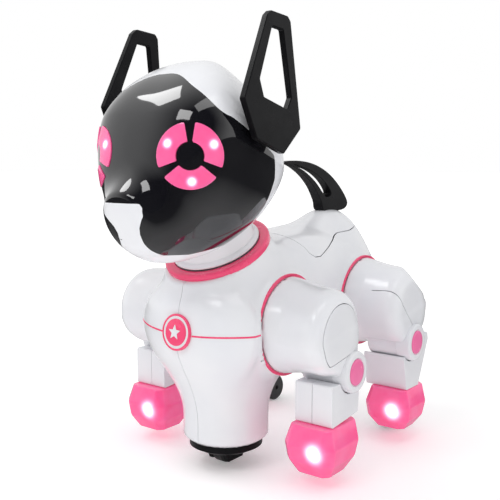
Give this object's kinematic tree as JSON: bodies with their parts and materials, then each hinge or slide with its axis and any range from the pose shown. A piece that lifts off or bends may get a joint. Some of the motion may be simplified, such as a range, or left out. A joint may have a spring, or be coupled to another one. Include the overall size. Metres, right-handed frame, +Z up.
{
  "type": "robot dog toy",
  "caption": "White walking robot dog with a black visor face, light-up eyes and paws, turning head, tilting ears, wagging tail and stepping legs.",
  "frame": {"origin": "on the floor under the middle of the dog's overall box", "axes": "+Z up, the dog looks along -Y, its left side is +X"},
  "size_m": [0.1412, 0.201, 0.2285],
  "materials": {
    "white_shell": "glossy moulded white",
    "pink_trim": "glossy solid pink",
    "pink_lens": "translucent pink, lit from inside",
    "black_gloss": "mirror-gloss black",
    "black_satin": "semi-gloss black",
    "inner_plastic": "plain grey inner moulding",
    "black_rubber": "soft black",
    "bright_steel": "plated",
    "cell_jacket": "printed jacket, plain",
    "circuit_board": "green solder mask",
    "led_body": "clear epoxy, pink-white"
  },
  "bodies": {
    "torso": {"back_cover": "white_shell", "torso_left_shell": "white_shell", "torso_right_shell": "white_shell", "hip_rings": "pink_trim", "collar_ring": "pink_trim", "chest_badge": "pink_trim", "battery_box": "inner_plastic", "battery_cells": "cell_jacket", "battery_door": "white_shell", "battery_door_screw": "bright_steel", "leg_gearbox_front": "inner_plastic", "leg_gearbox_rear": "inner_plastic", "leg_motor": "bright_steel", "main_board": "circuit_board", "speaker": "bright_steel", "shell_screws": "bright_steel", "turntable_bearing": "inner_plastic", "neck_bearing": "inner_plastic"},
    "head": {"face_visor": "black_gloss", "eye_lens_left": "pink_lens", "eye_lens_right": "pink_lens", "head_jaw_shell": "white_shell", "head_top_shell": "white_shell", "nose_plate": "white_shell", "eye_board": "circuit_board", "eye_leds": "led_body", "neck_post": "white_shell"},
    "ear_left": {"ear_left": "black_satin"},
    "ear_right": {"ear_right": "black_satin"},
    "tail": {"tail": "black_satin"},
    "switch": {"power_switch": "black_satin"},
    "turntable": {"column_turntable": "black_satin", "front_wheel_axle": "bright_steel"},
    "front_wheel": {"front_wheel": "black_rubber"},
    "thigh_fl": {"thigh_fl": "white_shell", "thigh_cap_fl": "white_shell", "knee_pin_fl": "pink_trim"},
    "shin_fl": {"shin_fl": "white_shell", "paw_fl": "pink_lens", "paw_led_fl": "led_body"},
    "thigh_fr": {"thigh_fr": "white_shell", "thigh_cap_fr": "white_shell", "knee_pin_fr": "pink_trim"},
    "shin_fr": {"shin_fr": "white_shell", "paw_fr": "pink_lens", "paw_led_fr": "led_body"},
    "thigh_rl": {"thigh_rl": "white_shell", "thigh_cap_rl": "white_shell", "knee_pin_rl": "pink_trim"},
    "shin_rl": {"shin_rl": "white_shell", "paw_rl": "pink_lens", "paw_led_rl": "led_body"},
    "heel_roller_rl": {"heel_roller_rl": "black_rubber"},
    "thigh_rr": {"thigh_rr": "white_shell", "thigh_cap_rr": "white_shell", "knee_pin_rr": "pink_trim"},
    "shin_rr": {"shin_rr": "white_shell", "paw_rr": "pink_lens", "paw_led_rr": "led_body"},
    "heel_roller_rr": {"heel_roller_rr": "black_rubber"}
  },
  "joints": [
    {"name": "head_turn", "type": "hinge", "parent": "torso", "child": "head", "pos_m": [0, -0.0325, 0.1165], "axis": [0, -0.4679, 0.8838], "range_deg": [-20, 20]},
    {"name": "ear_left_tilt", "type": "hinge", "parent": "head", "child": "ear_left", "pos_m": [0.0436, -0.045, 0.176], "axis": [1, 0, 0], "range_deg": [-12, 12]},
    {"name": "ear_right_tilt", "type": "hinge", "parent": "head", "child": "ear_right", "pos_m": [-0.0436, -0.045, 0.176], "axis": [1, 0, 0], "range_deg": [-12, 12]},
    {"name": "tail_wag", "type": "hinge", "parent": "torso", "child": "tail", "pos_m": [0, 0.078, 0.124], "axis": [0, 0, 1], "range_deg": [-20, 20]},
    {"name": "power_slide", "type": "slide", "parent": "torso", "child": "switch", "axis": [1, 0, 0], "range_m": [0, 0.0064]},
    {"name": "turntable_swivel", "type": "hinge", "parent": "torso", "child": "turntable", "pos_m": [0, -0.0256, 0.0143], "axis": [0, 0, 1], "continuous": true},
    {"name": "front_wheel_spin", "type": "hinge", "parent": "turntable", "child": "front_wheel", "pos_m": [0, -0.0256, 0.0088], "axis": [1, 0, 0], "continuous": true},
    {"name": "hip_fl", "type": "hinge", "parent": "torso", "child": "thigh_fl", "pos_m": [0.034, -0.0161, 0.0775], "axis": [1, 0, 0], "range_deg": [-8, 8]},
    {"name": "knee_fl", "type": "hinge", "parent": "thigh_fl", "child": "shin_fl", "pos_m": [0.0565, -0.0081, 0.0566], "axis": [1, 0, 0], "range_deg": [0, 12]},
    {"name": "hip_fr", "type": "hinge", "parent": "torso", "child": "thigh_fr", "pos_m": [-0.034, -0.0161, 0.0775], "axis": [1, 0, 0], "range_deg": [-8, 8]},
    {"name": "knee_fr", "type": "hinge", "parent": "thigh_fr", "child": "shin_fr", "pos_m": [-0.0565, -0.0081, 0.0566], "axis": [1, 0, 0], "range_deg": [0, 12]},
    {"name": "hip_rl", "type": "hinge", "parent": "torso", "child": "thigh_rl", "pos_m": [0.034, 0.0609, 0.0795], "axis": [1, 0, 0], "range_deg": [-8, 8]},
    {"name": "knee_rl", "type": "hinge", "parent": "thigh_rl", "child": "shin_rl", "pos_m": [0.0565, 0.0598, 0.059], "axis": [1, 0, 0], "range_deg": [-12, 0]},
    {"name": "heel_roller_rl_spin", "type": "hinge", "parent": "shin_rl", "child": "heel_roller_rl", "pos_m": [0.044, 0.078, 0.0085], "axis": [1, 0, 0], "continuous": true},
    {"name": "hip_rr", "type": "hinge", "parent": "torso", "child": "thigh_rr", "pos_m": [-0.034, 0.0609, 0.0795], "axis": [1, 0, 0], "range_deg": [-8, 8]},
    {"name": "knee_rr", "type": "hinge", "parent": "thigh_rr", "child": "shin_rr", "pos_m": [-0.0565, 0.0598, 0.059], "axis": [1, 0, 0], "range_deg": [-12, 0]},
    {"name": "heel_roller_rr_spin", "type": "hinge", "parent": "shin_rr", "child": "heel_roller_rr", "pos_m": [-0.044, 0.078, 0.0085], "axis": [1, 0, 0], "continuous": true}
  ],
  "couplings": [
    {"joint": "hip_fr", "follows": "hip_fl", "ratio": -1},
    {"joint": "hip_rl", "follows": "hip_fl", "ratio": -1},
    {"joint": "hip_rr", "follows": "hip_fl", "ratio": 1}
  ]
}
